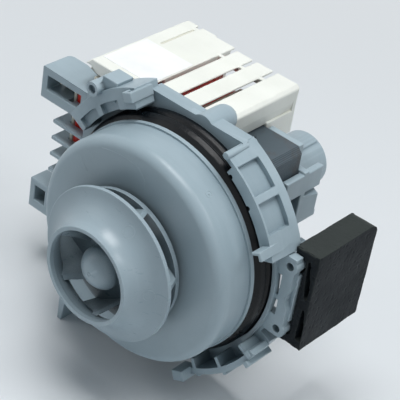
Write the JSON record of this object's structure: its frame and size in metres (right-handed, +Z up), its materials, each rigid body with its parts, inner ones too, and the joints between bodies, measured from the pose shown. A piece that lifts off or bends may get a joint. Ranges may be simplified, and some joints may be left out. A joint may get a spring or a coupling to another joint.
{
  "type": "circulation pump motor",
  "caption": "Wet-rotor synchronous motor with a closed impeller, round pump cover, bayonet lugs, taped coils on a laminated core, slotted coil housing and a rubber mount block.",
  "frame": {"origin": "on the pump axis, in the plane of the pump cover's rear lip", "axes": "-Y along the pump axis towards the impeller's inlet, +X to the right seen from the impeller, +Z up towards the label"},
  "size_m": [0.1377, 0.1262, 0.1128],
  "materials": {
    "impeller_hub": "satin moulded plastic",
    "impeller_shroud": "satin moulded plastic",
    "pump_cover": "satin moulded plastic",
    "cover_gasket": "satin black rubber",
    "motor_casing": "satin moulded plastic",
    "rear_bracket": "satin moulded plastic",
    "coil_housing": "ivory moulded plastic",
    "label_plate": "bare white film",
    "stator_core": "dark varnished steel sheets",
    "upper_bobbin": "white moulded plastic",
    "lower_bobbin": "white moulded plastic",
    "upper_coil_tape": "red adhesive tape",
    "lower_coil_tape": "red adhesive tape",
    "upper_winding": "enamelled copper wire",
    "lower_winding": "enamelled copper wire",
    "upper_terminal": "tinned blade",
    "lower_terminal": "tinned blade",
    "mount_block": "worn dusty black rubber",
    "shaft": "ground stainless steel",
    "rotor_magnet": "ground ferrite",
    "magnet_sleeve": "moulded plastic",
    "drive_dog": "dark moulded plastic",
    "front_bearing": "machined carbon",
    "rear_bearing": "machined carbon",
    "rear_bearing_seat": "moulded rubber",
    "thrust_washer": "ceramic washer",
    "cover_seal": "moulded rubber"
  },
  "bodies": {
    "casing": {"pump_cover": "pump_cover", "cover_gasket": "cover_gasket", "motor_casing": "motor_casing", "rear_bracket": "rear_bracket", "coil_housing": "coil_housing", "label_plate": "label_plate", "stator_core": "stator_core", "upper_bobbin": "upper_bobbin", "lower_bobbin": "lower_bobbin", "upper_coil_tape": "upper_coil_tape", "lower_coil_tape": "lower_coil_tape", "upper_winding": "upper_winding", "lower_winding": "lower_winding", "upper_terminal": "upper_terminal", "lower_terminal": "lower_terminal", "mount_block": "mount_block", "front_bearing": "front_bearing", "rear_bearing": "rear_bearing", "rear_bearing_seat": "rear_bearing_seat", "thrust_washer": "thrust_washer", "cover_seal": "cover_seal"},
    "rotor": {"shaft": "shaft", "rotor_magnet": "rotor_magnet", "magnet_sleeve": "magnet_sleeve", "drive_dog": "drive_dog"},
    "impeller": {"impeller_hub": "impeller_hub", "impeller_shroud": "impeller_shroud"}
  },
  "joints": [
    {"name": "rotor_spin", "type": "hinge", "parent": "casing", "child": "rotor", "pos_m": [0, 0, 0], "axis": [0, -1, 0], "continuous": true},
    {"name": "impeller_start", "type": "hinge", "parent": "rotor", "child": "impeller", "pos_m": [0, 0, 0], "axis": [0, -1, 0], "range_deg": [0, 200]}
  ]
}
